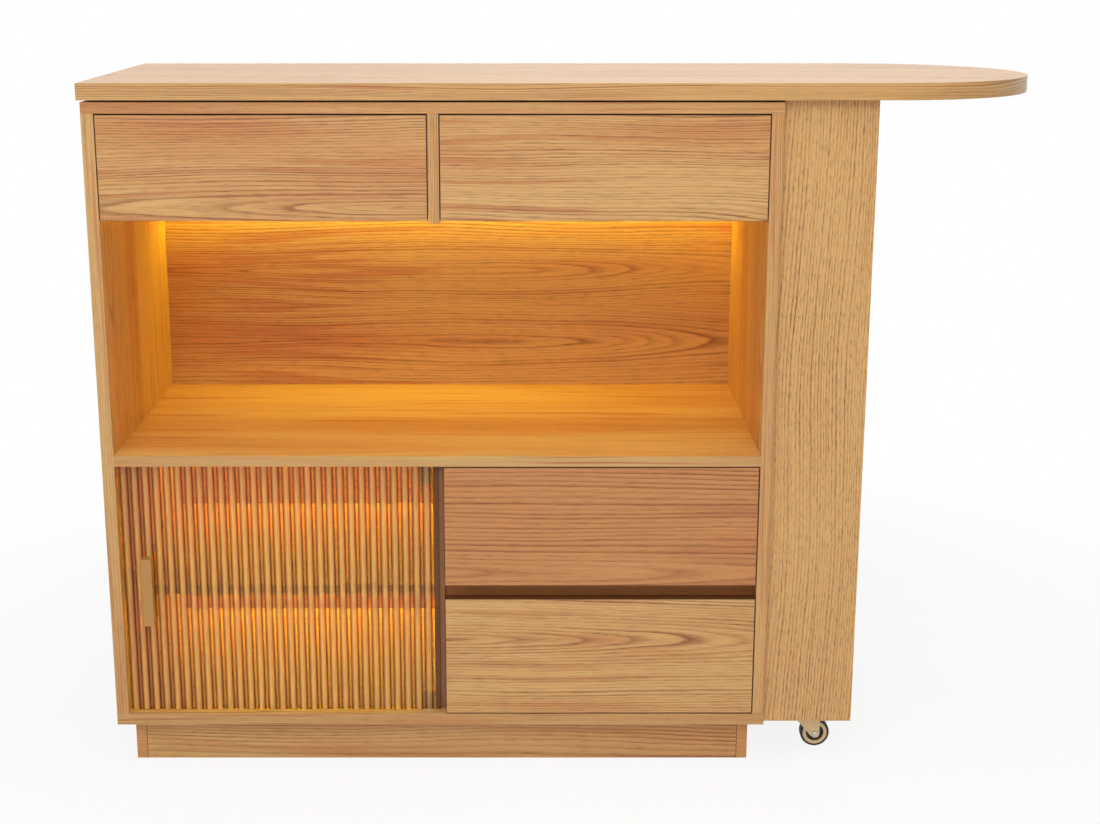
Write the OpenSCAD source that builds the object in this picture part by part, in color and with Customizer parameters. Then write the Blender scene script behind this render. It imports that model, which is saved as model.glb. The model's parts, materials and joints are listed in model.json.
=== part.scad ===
// Bar cabinet: a lit cabinet with drawers, an open niche and a fluted glass door,
// and a bar table on a castored leg that slides out to the right over the cabinet's top.
// Lengths are in millimetres. Inside the modules X runs from the cabinet's left side to the
// right, Y from the cabinet's front plane to the back, and Z up from the floor.

/* [Cabinet] */
// Width of the cabinet over its sides
carcass_w = 1000; // [900:10:1200]
// Depth of the cabinet from its front plane to its back
carcass_d = 469; // [440:1:520]
// Thickness of the side panels and of the bottom board
side_t = 18; // [16:1:22]
// Thickness of the cabinet's top board
top_t = 16; // [15:1:20]
// Thickness of the shelf between the niche and the lower bays
shelf_t = 16; // [14:1:20]
// Thickness of the upright dividers
divider_t = 16; // [14:1:18]
// Thickness of the back panel
back_t = 9; // [8:1:12]
// Height from the bottom board to the middle shelf
lower_bay_h = 397.5; // [380:0.5:420]
// Height from the middle shelf to the top board
upper_bay_h = 505; // [480:1:530]
// Height of the drawer row under the top board
drawer_row_h = 153.2; // [130:0.1:165]
// Distance from the left side's outer face to the middle of the dividers
divider_x = 500; // [480:1:520]
// How far the lower divider stands back from the front plane
divider_setback = 22; // [21:1:30]
// How far the upper divider's front hangs below the drawer row
divider_drop = 3; // [0:0.5:6]

/* [Plinth] */
// Height of the plinth
plinth_h = 70; // [62:1:90]
// How far the plinth stands back from the front plane
plinth_front_setback = 30; // [15:1:60]
// How far the plinth stands in from the cabinet's sides
plinth_side_setback = 21; // [10:1:60]
// How far the plinth stands in from the cabinet's back
plinth_back_setback = 20; // [5:1:60]
// Thickness of the plinth boards
plinth_t = 16; // [12:1:20]

/* [Niche and shelves] */
// Thickness of the board over the niche
ceiling_t = 12; // [10:1:15]
// How far the drawer fronts hang below the board over the niche
ceiling_lift = 4.7; // [2:0.1:8]
// Finger room between the upper drawer fronts and the board over the niche
ceiling_finger_gap = 22; // [16:1:40]
// Thickness of the loose shelf behind the glass door
inner_shelf_t = 16; // [12:1:20]
// Height of the loose shelf's upper face above the bottom board
inner_shelf_h = 197; // [150:1:260]
// How far the loose shelf stands back from the front plane
inner_shelf_setback = 40; // [30:1:120]
// Gap between the loose shelf and the boards beside and behind it
inner_shelf_gap = 0.5; // [0.3:0.1:2]
// Diameter of the shelf pins
shelf_pin_d = 5; // [4:0.5:6]
// Length of a shelf pin in the board
shelf_pin_in = 8; // [6:1:10]
// Length of a shelf pin under the shelf
shelf_pin_out = 9; // [6:1:14]
// Distance of the shelf pins from the shelf's front and back edges
shelf_pin_inset = 50; // [30:1:100]

/* [Drawers] */
// Thickness of the drawer fronts
front_t = 18; // [16:1:20]
// Gap round the drawer fronts
front_gap = 1.5; // [1:0.5:3]
// Gap above the upper drawer fronts
upper_front_gap = 2; // [1:0.5:4]
// Height of the finger gap between the two lower drawers
finger_gap = 22; // [18:1:30]
// Height of the bottom drawer's front
bottom_front_h = 186.5; // [165:0.5:200]
// How far the rail behind the finger gap stands back from the front plane
finger_rail_setback = 40; // [36:1:60]
// Depth of the rail behind the finger gap
finger_rail_d = 18; // [12:1:24]
// Height of the rail behind the finger gap
finger_rail_h = 38; // [20:1:40]
// Distance from the drawer boxes to the back panel
drawer_back_room = 42; // [32:1:90]
// Thickness of the drawer box sides and backs
drawer_side_t = 12; // [10:1:15]
// Thickness of the drawer bottoms
drawer_bottom_t = 6; // [4:1:9]
// Side room on each side of a drawer box for its runners
runner_room = 13; // [12:0.5:15]
// Room above the upper drawer boxes
upper_box_room = 20.5; // [12:0.5:40]
// How far a lower drawer box ends below its front's upper edge
lower_box_drop = 16; // [8:0.5:50]
// How far a lower drawer box stands above its front's lower edge
lower_box_lift = 12; // [8:1:25]
// How far an upper drawer box stands above the board over the niche
upper_box_lift = 8; // [5:1:14]

/* [Runners] */
// Thickness of the runners' sheet metal
runner_sheet = 2; // [1.5:0.25:2.5]
// Distance from the drawer fronts to the runners, and from the boxes' ends to the rails' ends
rail_inset = 2; // [1:0.5:4]
// Height of a cabinet rail
rail_h = 24; // [18:1:35]
// Width of a cabinet rail's ledge, from the rail's face
rail_ledge = 10; // [8:0.5:10]
// Height of a drawer runner's foot
runner_foot_h = 4; // [3:0.5:6]
// Width of a drawer runner's foot
runner_foot_w = 8; // [6:0.5:8]
// Height of a drawer runner's web
runner_web_h = 16; // [12:1:18]
// Height of the rails above the lower edge of their drawer box
rail_lift = 6; // [4:1:12]
// Running clearance between a runner and its rail
slide_clear = 0.3; // [0.3:0.1:0.5]

/* [Glass door] */
// How far the glass stands back behind the front plane
glass_setback = 12; // [8:1:14]
// Thickness of the glass over its ribs
glass_t = 6; // [5:0.5:7]
// Height of the ribs on the glass
rib_h = 2; // [1.5:0.25:2.5]
// Height of the straight sides of a rib
rib_edge = 0.3; // [0.2:0.1:0.6]
// Width of the flat glass between two ribs
rib_groove = 7.2; // [5:0.2:9]
// Number of ribs across the door
rib_count = 29; // [20:1:40]
// Gap above and below the glass
glass_gap_z = 2; // [2:0.5:4]
// Distance from the divider to the door's pivot
pivot_inset = 10; // [10:0.5:14]
// Diameter of the pivot pins
pivot_d = 5; // [4:0.5:6]
// Length of a pivot pin in its bush
pivot_reach = 9; // [6:0.5:10]
// Depth of a bush past the end of its pin
bush_floor = 1; // [0.5:0.5:3]
// Radial running clearance of the pivot pins
pivot_clear = 0.05; // [0.02:0.01:0.1]
// Wall of the pivot bushes
bush_wall = 2; // [1.5:0.25:3]
// Width of the pivot plates
pivot_plate_w = 18; // [14:1:19]
// Height of the pivot plates on the back of the glass
pivot_plate_h = 30; // [20:1:45]
// Thickness of the pivot plates on the back of the glass
pivot_plate_t = 2.5; // [2:0.25:3]
// Thickness of the pivot plates over the edge of the glass
pivot_lip_t = 1.2; // [1:0.1:1.4]
// Width of the stop strip on the divider's front edge
stop_strip_w = 8; // [6:0.5:10]
// Thickness of the stop strip
stop_strip_t = 4; // [2:0.5:4.5]

/* [Door handle] */
// Width of the handle
handle_w = 16; // [12:1:24]
// Height of the handle
handle_h = 107; // [80:1:160]
// Thickness of the handle, from its front to the glass
handle_t = 16; // [10:0.5:16]
// How far the handle's front stands in front of the cabinet's front plane
handle_proud = 4; // [2:0.5:4.5]
// Distance from the side panel to the handle
handle_inset = 32; // [24:1:60]
// Corner radius of the handle
handle_corner_r = 3; // [2:0.5:5]
// Diameter of the handle's bolts
handle_bolt_d = 7; // [5:0.5:8]
// Spacing of the handle's bolts
handle_bolt_pitch = 64; // [40:1:76]
// Diameter of the washers behind the glass
handle_washer_d = 14; // [12:1:18]
// Thickness of the washers behind the glass
handle_washer_t = 3; // [2:0.5:4]
// Clearance of the handle's bolts in the glass
handle_bolt_clear = 0.3; // [0.3:0.1:1]

/* [Lights] */
// Width of a light channel
channel_w = 16; // [12:1:20]
// Height of a light channel
channel_h = 8; // [6:1:10]
// Wall of a light channel
channel_wall = 2; // [1.5:0.25:2.5]
// Thickness of a light channel's diffuser
diffuser_t = 2; // [1.5:0.25:3]
// Gap between the light channels and the back panel
channel_back_gap = 8; // [4:1:40]
// Diameter of the light cable
cable_d = 4; // [3:0.5:4.5]
// Distance from the left side to the light cable
cable_x = 60; // [45:1:90]
// Clearance of the light cable in its groove and holes
cable_clear = 0.3; // [0.3:0.1:1]
// Length of the light driver's case
driver_l = 120; // [90:5:160]
// Height of the light driver's case
driver_h = 44; // [30:1:60]
// Depth of the light driver's case
driver_d = 24; // [16:1:28]
// Distance from the light cable to the driver's case
driver_offset = 14; // [8:1:40]
// Diameter of the supply socket's nose
socket_d = 8; // [6:0.5:12]
// Diameter of the supply socket's flange
socket_flange_d = 16; // [14:1:20]
// Thickness of the supply socket's flange
socket_flange_t = 3; // [2:0.5:5]

/* [Bar table] */
// Distance from the leg's outer side to the tip of the bar top's round end
bar_reach = 258.5; // [230:0.5:340]
// Thickness of the bar top
bar_t = 24; // [20:1:30]
// How far the bar top stands in front of the cabinet's front plane
bar_front_overhang = 5; // [5:0.5:12]
// How far the bar top stands past the cabinet's back
bar_back_overhang = 0; // [0:0.5:12]
// How far the bar top stands past the cabinet's left side
bar_left_overhang = 4; // [0:0.5:12]
// Running gap between the bar top and the cabinet's top
bar_gap = 3; // [2.5:0.5:5]
// Width of the leg along the bar
leg_w = 135; // [110:1:180]
// Gap between the leg and the cabinet's side
leg_gap = 2; // [1:0.5:5]
// How far the leg stands back from the cabinet's front plane and from its back
leg_setback = 14; // [8:1:30]
// Thickness of the leg's boards
leg_t = 18; // [15:1:22]
// Height of the block that holds the leg to the bar top
cleat_h = 18; // [12:1:30]

/* [Top guide] */
// Width of a guide track
track_w = 20; // [18:1:24]
// Depth of a guide track
track_h = 10; // [9:0.5:11]
// Wall of a guide track
track_wall = 2; // [1.5:0.25:2]
// Thickness of a guide track's floor
track_floor = 1.5; // [1:0.25:2]
// Width of a guide track's slot
track_slot = 8; // [6:0.5:10]
// Distance of the guide tracks from the front plane and from the back
track_inset = 110; // [70:1:160]
// Distance of the tracks' left ends from the cabinet's left side
track_start = 30; // [20:1:31]
// Distance of the tracks' right ends from the cabinet's right side
track_end = 30; // [10:1:34]
// Length of a guide shoe
shoe_l = 60; // [40:1:66]
// Distance of the first guide shoes from the cabinet's left side
shoe_start = 32; // [31:1:36]
// Distance between the first and second guide shoes
shoe_pitch = 170; // [120:1:176]
// Width of a guide shoe's upper plate
shoe_plate_w = 30; // [24:1:40]
// Thickness of a guide shoe's upper plate
shoe_plate_t = 2; // [1.5:0.25:2]
// Clearance of the guide shoes in the tracks
shoe_clear = 0.3; // [0.3:0.1:0.5]

/* [Castors] */
// Diameter of a castor wheel
wheel_d = 46; // [44:1:50]
// Width of a castor tyre
tyre_w = 18; // [14:1:20]
// Thickness of a castor tyre
tyre_t = 3.5; // [3:0.5:5]
// Radius of the tyre's shoulders
tyre_shoulder_r = 3; // [2:0.5:3]
// Distance from a castor's swivel to its axle
castor_trail = 23; // [18:1:24]
// Distance from the leg's front or back to the castor's swivel
castor_inset = 68; // [45:0.5:100]
// Side of a castor's square plate
castor_plate = 42; // [38:1:60]
// Thickness of a castor's plate
castor_plate_t = 2.5; // [2:0.25:3.5]
// Radius of a castor's swivel head
castor_head_r = 15; // [12:0.5:18]
// Height of a castor's swivel head
castor_head_h = 5; // [4:0.5:6]
// Diameter of a castor's king pin
king_pin_d = 8; // [6:0.5:9]
// Radius of the king pin's rivet head
king_head_r = 6.5; // [5.5:0.5:8]
// Thickness of the king pin's rivet head
king_head_t = 2; // [1.5:0.25:2.5]
// Thickness of a castor fork's crown
crown_t = 4; // [3:0.5:5]
// Thickness of a castor fork's cheeks
cheek_t = 2; // [1.5:0.25:3]
// Gap between a castor's tyre and its fork
cheek_gap = 1.5; // [1:0.5:3]
// Diameter of a castor's axle
axle_d = 6; // [5:0.5:8]
// Radius of a castor axle's heads
axle_head_r = 4.5; // [4:0.5:6]
// Thickness of a castor axle's heads
axle_head_t = 2.5; // [2:0.5:4]
// Width of the fork's eye round the axle's heads
eye_margin = 2.5; // [0.5:0.25:4]
// How far a fork's cheeks reach from the swivel, away from the axle
cheek_reach = 20; // [15:0.5:22]
// Radius of a castor wheel's boss
boss_r = 6.5; // [5.5:0.5:8]
// How far a castor wheel's rim stands in from the tyre's sides
rim_recess = 1; // [0.5:0.25:2]
// Thickness of a castor wheel's rim
rim_t = 5.5; // [3:0.5:6]
// Thickness of a castor wheel's web
web_t = 5; // [3:0.5:7]
// Radial running clearance of the king pins and axles
castor_clear = 0.05; // [0.02:0.01:0.1]
// Gap between the swivel head, the fork's crown and the rivet head
swivel_gap = 0.3; // [0.3:0.1:0.6]

/* [Hidden] */
$fn = 96;
FINE_FN = 180;
BORE_CUT = 1;

// Levels of the cabinet, from the floor up
bottom_z = plinth_h;
bay_z = bottom_z + side_t;
shelf_z = bay_z + lower_bay_h;
niche_z = shelf_z + shelf_t;
top_z = niche_z + upper_bay_h;
carcass_h = top_z + top_t;
bar_z = carcass_h + bar_gap;
drawer_row_z = top_z - drawer_row_h;
ceiling_z = drawer_row_z + ceiling_lift;
inner_shelf_z = bay_z + inner_shelf_h - inner_shelf_t;

// Places along and across the cabinet
inner_left = side_t;
inner_right = carcass_w - side_t;
divider_left = divider_x - divider_t / 2;
divider_right = divider_x + divider_t / 2;
back_y = carcass_d - back_t;
ceiling_y = front_t + ceiling_finger_gap;

// Leg of the bar table, and the bar top that it carries
leg_left = carcass_w + leg_gap;
leg_right = leg_left + leg_w;
leg_y = leg_setback;
leg_end_y = carcass_d - leg_setback;
leg_z = plinth_h;
bar_l = bar_left_overhang + leg_right + bar_reach;
bar_d = bar_front_overhang + carcass_d + bar_back_overhang;

// The origin lies under the middle of the whole object
mid_x = bar_l / 2 - bar_left_overhang;
mid_y = bar_d / 2 - bar_front_overhang;

// Drawer places: left and right of the bay, front's lower and upper edge, box's lower and upper edge
upper_front_top = top_z - upper_front_gap;
lower_front_z = bay_z + front_gap;
lower_front_top = lower_front_z + bottom_front_h;
lower_top_front_z = lower_front_top + finger_gap;
lower_top_front_top = shelf_z - front_gap;
upper_box_z = ceiling_z + ceiling_t + upper_box_lift;
upper_box_top = top_z - upper_box_room;
UPPER_LEFT = [inner_left, divider_left, drawer_row_z, upper_front_top, upper_box_z, upper_box_top];
UPPER_RIGHT = [divider_right, inner_right, drawer_row_z, upper_front_top, upper_box_z, upper_box_top];
LOWER_TOP = [divider_right, inner_right, lower_top_front_z, lower_top_front_top,
    lower_top_front_z + lower_box_lift, lower_top_front_top - lower_box_drop];
LOWER_BOTTOM = [divider_right, inner_right, lower_front_z, lower_front_top,
    lower_front_z + lower_box_lift, lower_front_top - lower_box_drop];
DRAWERS = [UPPER_LEFT, UPPER_RIGHT, LOWER_TOP, LOWER_BOTTOM];
drawer_end_y = back_y - drawer_back_room;
rail_start = front_t + rail_inset;
rail_end = drawer_end_y + rail_inset;

// Glass door
glass_left = inner_left + front_gap;
glass_right = divider_left - front_gap;
glass_w = glass_right - glass_left;
glass_z = bay_z + glass_gap_z;
glass_h = lower_bay_h - 2 * glass_gap_z;
glass_back_y = glass_setback + glass_t;
rib_pitch = glass_w / rib_count;
rib_w = rib_pitch - rib_groove;
rib_crown = rib_h - rib_edge;
rib_r = (pow(rib_w / 2, 2) + pow(rib_crown, 2)) / (2 * rib_crown);
pivot_x = divider_left - pivot_inset;
pivot_y = glass_back_y - (glass_t - rib_h) / 2;
bush_r = pivot_d / 2 + pivot_clear + bush_wall;
bush_h = pivot_reach + bush_floor;
pin_l = pivot_reach + glass_gap_z;
handle_x = inner_left + handle_inset;
handle_z = bay_z + (lower_bay_h - handle_h) / 2;
handle_y = -handle_proud;

// Light channels: left end, right end and the level of the board above each
channel_y = back_y - channel_back_gap - channel_w;
CHANNELS = [
    [inner_left, inner_right, ceiling_z],
    [inner_left, divider_left, shelf_z],
    [inner_left + inner_shelf_gap, divider_left - inner_shelf_gap, inner_shelf_z]
];
driver_x = cable_x + driver_offset;
driver_z = ceiling_z + ceiling_t;
cable_y = carcass_d - back_t / 2;
cable_top = driver_z + driver_h / 2;
cable_bottom = inner_shelf_z - channel_h / 2;
socket_z = cable_top + driver_h;

// Guide tracks in the top board
TRACK_Y = [track_inset, carcass_d - track_inset];
track_z = carcass_h - track_h;
track_l = carcass_w - track_start - track_end;

// Castors
castor_x = leg_left + leg_w / 2;
front_castor_y = leg_y + castor_inset;
rear_castor_y = leg_end_y - castor_inset;
axle_z = wheel_d / 2;
castor_head_z = leg_z - castor_plate_t - castor_head_h;
crown_z = castor_head_z - swivel_gap - crown_t;
cheek_y = tyre_w / 2 + cheek_gap;
hub_r = wheel_d / 2 - tyre_t;

// Moves a piece from the cabinet's own corner to the origin
module at_home() {
    translate([-mid_x, -mid_y, 0]) children();
}

// A board given by its lowest corner and its highest corner
module board(low, high) {
    translate(low) cube(high - low);
}

module side_panel_left() {
    color([0.80, 0.64, 0.42]) at_home()
        difference() {
            board([0, 0, bay_z], [side_t, carcass_d, top_z]);
            shelf_pin_holes(0);
        }
}

module side_panel_right() {
    color([0.80, 0.64, 0.42]) at_home()
        board([inner_right, 0, bay_z], [carcass_w, carcass_d, top_z]);
}

// Two grooves run along the top board for the guide tracks
module carcass_top() {
    color([0.80, 0.64, 0.42]) at_home()
        difference() {
            board([0, 0, top_z], [carcass_w, carcass_d, carcass_h]);
            for (y = TRACK_Y)
                board([track_start, y - track_w / 2, track_z],
                    [track_start + track_l, y + track_w / 2, carcass_h + BORE_CUT]);
        }
}

module carcass_bottom() {
    color([0.80, 0.64, 0.42]) at_home()
        difference() {
            board([0, 0, bottom_z], [carcass_w, carcass_d, bay_z]);
            translate([pivot_x, pivot_y, bay_z - bush_h]) cylinder(r = bush_r, h = bush_h + BORE_CUT);
        }
}

module middle_shelf() {
    color([0.80, 0.64, 0.42]) at_home()
        difference() {
            board([inner_left, 0, shelf_z], [inner_right, back_y, niche_z]);
            translate([pivot_x, pivot_y, shelf_z - BORE_CUT]) cylinder(r = bush_r, h = bush_h + BORE_CUT);
        }
}

// The divider's front part hangs down in front of the board over the niche
module upper_divider() {
    color([0.80, 0.64, 0.42]) at_home()
        union() {
            board([divider_left, 0, ceiling_z + ceiling_t], [divider_right, back_y, top_z]);
            board([divider_left, 0, drawer_row_z - divider_drop], [divider_right, ceiling_y, top_z]);
        }
}

module lower_divider() {
    color([0.66, 0.48, 0.30]) at_home()
        difference() {
            board([divider_left, divider_setback, bay_z], [divider_right, back_y, shelf_z]);
            shelf_pin_holes(1);
        }
}

module door_stop_strip() {
    color([0.45, 0.33, 0.18]) at_home()
        board([divider_left, divider_setback - stop_strip_t, bay_z],
            [divider_left + stop_strip_w, divider_setback, shelf_z]);
}

module niche_ceiling() {
    color([0.80, 0.64, 0.42]) at_home()
        board([inner_left, ceiling_y, ceiling_z], [inner_right, back_y, ceiling_z + ceiling_t]);
}

// The back panel holds the cable in a groove behind, with a hole to each light and to the driver
module back_panel() {
    color([0.78, 0.60, 0.38]) at_home()
        difference() {
            board([inner_left, back_y, bay_z], [inner_right, carcass_d, top_z]);
            cable_run([cable_x, cable_y, cable_bottom], [cable_x, carcass_d + BORE_CUT, cable_top],
                cable_clear);
            for (z = concat(cable_levels(), cable_top))
                cable_run([cable_x, back_y - cable_d, z], [cable_x, cable_y, z], cable_clear);
            translate([cable_x, back_y - BORE_CUT, socket_z]) rotate([-90, 0, 0])
                cylinder(r = socket_d / 2 + cable_clear, h = back_t + 2 * BORE_CUT);
        }
}

module plinth_ends() {
    color([0.78, 0.60, 0.38]) at_home()
        for (x = [plinth_side_setback, carcass_w - plinth_side_setback - plinth_t])
            board([x, plinth_front_setback, 0], [x + plinth_t, carcass_d - plinth_back_setback, bottom_z]);
}

module plinth_rails() {
    color([0.78, 0.60, 0.38]) at_home()
        for (y = [plinth_front_setback, carcass_d - plinth_back_setback - plinth_t])
            board([plinth_side_setback + plinth_t, y, 0],
                [carcass_w - plinth_side_setback - plinth_t, y + plinth_t, bottom_z]);
}

module inner_shelf() {
    color([0.80, 0.64, 0.42]) at_home()
        board([inner_left + inner_shelf_gap, inner_shelf_setback, inner_shelf_z],
            [divider_left - inner_shelf_gap, back_y - inner_shelf_gap, inner_shelf_z + inner_shelf_t]);
}

// The shelf's four pins lie under its ends, so their centres are half a pin below it
function pin_ys() = [inner_shelf_setback + shelf_pin_inset, channel_y - shelf_pin_inset];
function pin_z() = inner_shelf_z - shelf_pin_d / 2;

module shelf_pin_holes(side) {
    x = side == 0 ? inner_left - shelf_pin_in : divider_left - BORE_CUT;
    for (y = pin_ys())
        translate([x, y, pin_z()]) rotate([0, 90, 0])
            cylinder(d = shelf_pin_d, h = shelf_pin_in + BORE_CUT);
}

module shelf_pins() {
    color([0.75, 0.74, 0.72]) at_home()
        for (y = pin_ys(), x = [inner_left - shelf_pin_in, divider_left - shelf_pin_out])
            translate([x, y, pin_z()]) rotate([0, 90, 0])
                cylinder(d = shelf_pin_d, h = shelf_pin_in + shelf_pin_out);
}

module finger_rail() {
    rail_z = lower_front_top + (finger_gap - finger_rail_h) / 2;
    color([0.42, 0.27, 0.16]) at_home()
        board([divider_right, finger_rail_setback, rail_z],
            [inner_right, finger_rail_setback + finger_rail_d, rail_z + finger_rail_h]);
}

// Each channel is an upside-down trough whose mouth the diffuser closes
module light_channels() {
    color([0.72, 0.72, 0.72]) at_home()
        for (c = CHANNELS)
            difference() {
                board([c[0], channel_y, c[2] - channel_h], [c[1], channel_y + channel_w, c[2]]);
                board([c[0] - BORE_CUT, channel_y + channel_wall, c[2] - channel_h - BORE_CUT],
                    [c[1] + BORE_CUT, channel_y + channel_w - channel_wall, c[2] - channel_wall]);
            }
}

module light_diffusers() {
    color([1.0, 0.86, 0.55]) at_home()
        for (c = CHANNELS)
            board([c[0], channel_y + channel_wall, c[2] - channel_h],
                [c[1], channel_y + channel_w - channel_wall, c[2] - channel_h + diffuser_t]);
}

module light_driver() {
    color([0.92, 0.92, 0.90]) at_home()
        board([driver_x, back_y - driver_d, driver_z],
            [driver_x + driver_l, back_y, driver_z + driver_h]);
}

// The supply socket opens to the back and has its flange inside the back panel
module supply_socket() {
    bore_d = socket_d / 2;
    color([0.12, 0.12, 0.12]) at_home()
        translate([cable_x, back_y - socket_flange_t, socket_z]) rotate([-90, 0, 0])
            difference() {
                union() {
                    cylinder(d = socket_flange_d, h = socket_flange_t);
                    cylinder(d = socket_d, h = socket_flange_t + back_t);
                }
                translate([0, 0, socket_flange_t])
                    cylinder(d = bore_d, h = back_t + BORE_CUT);
            }
}

// Levels of the light channels' middles, where the cable branches off
function cable_levels() = [for (c = CHANNELS) c[2] - channel_h / 2];

// A straight run of square cable between two points, or the room for it
module cable_run(from, to, clear = 0) {
    margin = cable_d / 2 + clear;
    board([for (v = from) v - margin], [for (v = to) v + margin]);
}

// The cable runs up the back panel's groove, with a branch to each light, the driver and the socket
module light_cable() {
    inner_y = back_y - driver_d / 2;
    flange_y = back_y - socket_flange_t;
    color([0.15, 0.15, 0.15]) at_home()
        union() {
            cable_run([cable_x, cable_y, cable_bottom], [cable_x, cable_y, cable_top]);
            for (z = cable_levels())
                cable_run([cable_x, channel_y + channel_w + cable_d / 2, z], [cable_x, cable_y, z]);
            cable_run([cable_x, inner_y, cable_top], [cable_x, cable_y, cable_top]);
            cable_run([cable_x, inner_y, cable_top], [driver_x - cable_d / 2, inner_y, cable_top]);
            cable_run([cable_x, inner_y, cable_top], [cable_x, inner_y, socket_z]);
            cable_run([cable_x, inner_y, socket_z], [cable_x, flange_y - cable_d / 2, socket_z]);
        }
}

// The glass is a flat sheet with upright rounded ribs on its front and flat glass between them
module door_glass() {
    color([0.86, 0.90, 0.86, 0.5]) at_home()
        difference() {
            translate([glass_left, glass_setback, glass_z])
                linear_extrude(height = glass_h)
                    union() {
                        translate([0, rib_h]) square([glass_w, glass_t - rib_h]);
                        for (i = [0:rib_count - 1])
                            intersection() {
                                translate([(i + 0.5) * rib_pitch, rib_r]) circle(r = rib_r, $fn = FINE_FN);
                                translate([i * rib_pitch + rib_groove / 2, 0])
                                    square([rib_w, 2 * rib_h]);
                            }
                    }
            for (z = handle_bolt_levels())
                translate([handle_x + handle_w / 2, glass_setback - BORE_CUT, z]) rotate([-90, 0, 0])
                    cylinder(d = handle_bolt_d + 2 * handle_bolt_clear, h = glass_t + 2 * BORE_CUT);
        }
}

function handle_bolt_levels() =
    [for (s = [-0.5, 0.5]) handle_z + handle_h / 2 + s * handle_bolt_pitch];

// The handle is held on the ribs by two bolts with washers behind the glass
module door_handle() {
    color([0.70, 0.53, 0.28]) at_home()
        union() {
            translate([handle_x, handle_y + handle_t, handle_z]) rotate([90, 0, 0])
                linear_extrude(height = handle_t) handle_outline();
            for (z = handle_bolt_levels())
                translate([handle_x + handle_w / 2, handle_y + handle_t / 2, z]) rotate([-90, 0, 0]) {
                    cylinder(d = handle_bolt_d, h = glass_back_y - handle_y - handle_t / 2);
                    translate([0, 0, glass_back_y - handle_y - handle_t / 2])
                        cylinder(d = handle_washer_d, h = handle_washer_t);
                }
        }
}

// A rectangle with round corners
module handle_outline() {
    r = handle_corner_r;
    translate([r, 0]) square([handle_w - 2 * r, handle_h]);
    translate([0, r]) square([handle_w, handle_h - 2 * r]);
    for (x = [r, handle_w - r], z = [r, handle_h - r])
        translate([x, z]) circle(r = r);
}

// Each pivot is a plate behind the glass with a lip over its edge and a pin on the lip
module door_pivots() {
    color([0.62, 0.50, 0.30]) at_home() {
        door_pivot();
        translate([0, 0, 2 * glass_z + glass_h]) mirror([0, 0, 1]) door_pivot();
    }
}

module door_pivot() {
    plate_left = glass_right - pivot_plate_w;
    board([plate_left, glass_back_y, glass_z - pivot_lip_t],
        [glass_right, glass_back_y + pivot_plate_t, glass_z + pivot_plate_h]);
    board([plate_left, glass_setback + rib_h, glass_z - pivot_lip_t],
        [glass_right, glass_back_y + pivot_plate_t, glass_z]);
    translate([pivot_x, pivot_y, glass_z - pin_l]) cylinder(d = pivot_d, h = pin_l);
}

module pivot_bushes() {
    color([0.90, 0.88, 0.82]) at_home()
        for (z = [bay_z - bush_h, shelf_z])
            translate([pivot_x, pivot_y, z])
                difference() {
                    cylinder(r = bush_r, h = bush_h);
                    translate([0, 0, -BORE_CUT])
                        cylinder(d = pivot_d + 2 * pivot_clear, h = bush_h + 2 * BORE_CUT);
                }
}

module drawer_front(d) {
    color([0.80, 0.63, 0.41]) at_home()
        board([d[0] + front_gap, 0, d[2]], [d[1] - front_gap, front_t, d[3]]);
}

// Two sides and a back, behind the drawer's front
module drawer_box(d) {
    left = d[0] + runner_room;
    right = d[1] - runner_room;
    color([0.84, 0.72, 0.54]) at_home() {
        board([left, front_t, d[4]], [left + drawer_side_t, drawer_end_y, d[5]]);
        board([right - drawer_side_t, front_t, d[4]], [right, drawer_end_y, d[5]]);
        board([left + drawer_side_t, drawer_end_y - drawer_side_t, d[4]],
            [right - drawer_side_t, drawer_end_y, d[5]]);
    }
}

module drawer_bottom(d) {
    inset = runner_room + drawer_side_t;
    color([0.86, 0.76, 0.60]) at_home()
        board([d[0] + inset, front_t, d[4]],
            [d[1] - inset, drawer_end_y - drawer_side_t, d[4] + drawer_bottom_t]);
}

// One runner on each side of the drawer box, with a foot that rides over the rail's ledge
module drawer_runners(d) {
    foot_z = d[4] + rail_lift + runner_sheet + slide_clear;
    left = d[0] + runner_room;
    right = d[1] - runner_room;
    color([0.75, 0.75, 0.75]) at_home() {
        board([left - runner_sheet, rail_start, foot_z], [left, drawer_end_y, foot_z + runner_web_h]);
        board([left - runner_foot_w, rail_start, foot_z], [left, drawer_end_y, foot_z + runner_foot_h]);
        board([right, rail_start, foot_z], [right + runner_sheet, drawer_end_y, foot_z + runner_web_h]);
        board([right, rail_start, foot_z], [right + runner_foot_w, drawer_end_y, foot_z + runner_foot_h]);
    }
}

module upper_left_front() { drawer_front(UPPER_LEFT); }
module upper_left_box() { drawer_box(UPPER_LEFT); }
module upper_left_bottom() { drawer_bottom(UPPER_LEFT); }
module upper_left_runners() { drawer_runners(UPPER_LEFT); }
module upper_right_front() { drawer_front(UPPER_RIGHT); }
module upper_right_box() { drawer_box(UPPER_RIGHT); }
module upper_right_bottom() { drawer_bottom(UPPER_RIGHT); }
module upper_right_runners() { drawer_runners(UPPER_RIGHT); }
module lower_top_front() { drawer_front(LOWER_TOP); }
module lower_top_box() { drawer_box(LOWER_TOP); }
module lower_top_bottom() { drawer_bottom(LOWER_TOP); }
module lower_top_runners() { drawer_runners(LOWER_TOP); }
module lower_bottom_front() { drawer_front(LOWER_BOTTOM); }
module lower_bottom_box() { drawer_box(LOWER_BOTTOM); }
module lower_bottom_bottom() { drawer_bottom(LOWER_BOTTOM); }
module lower_bottom_runners() { drawer_runners(LOWER_BOTTOM); }

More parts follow.
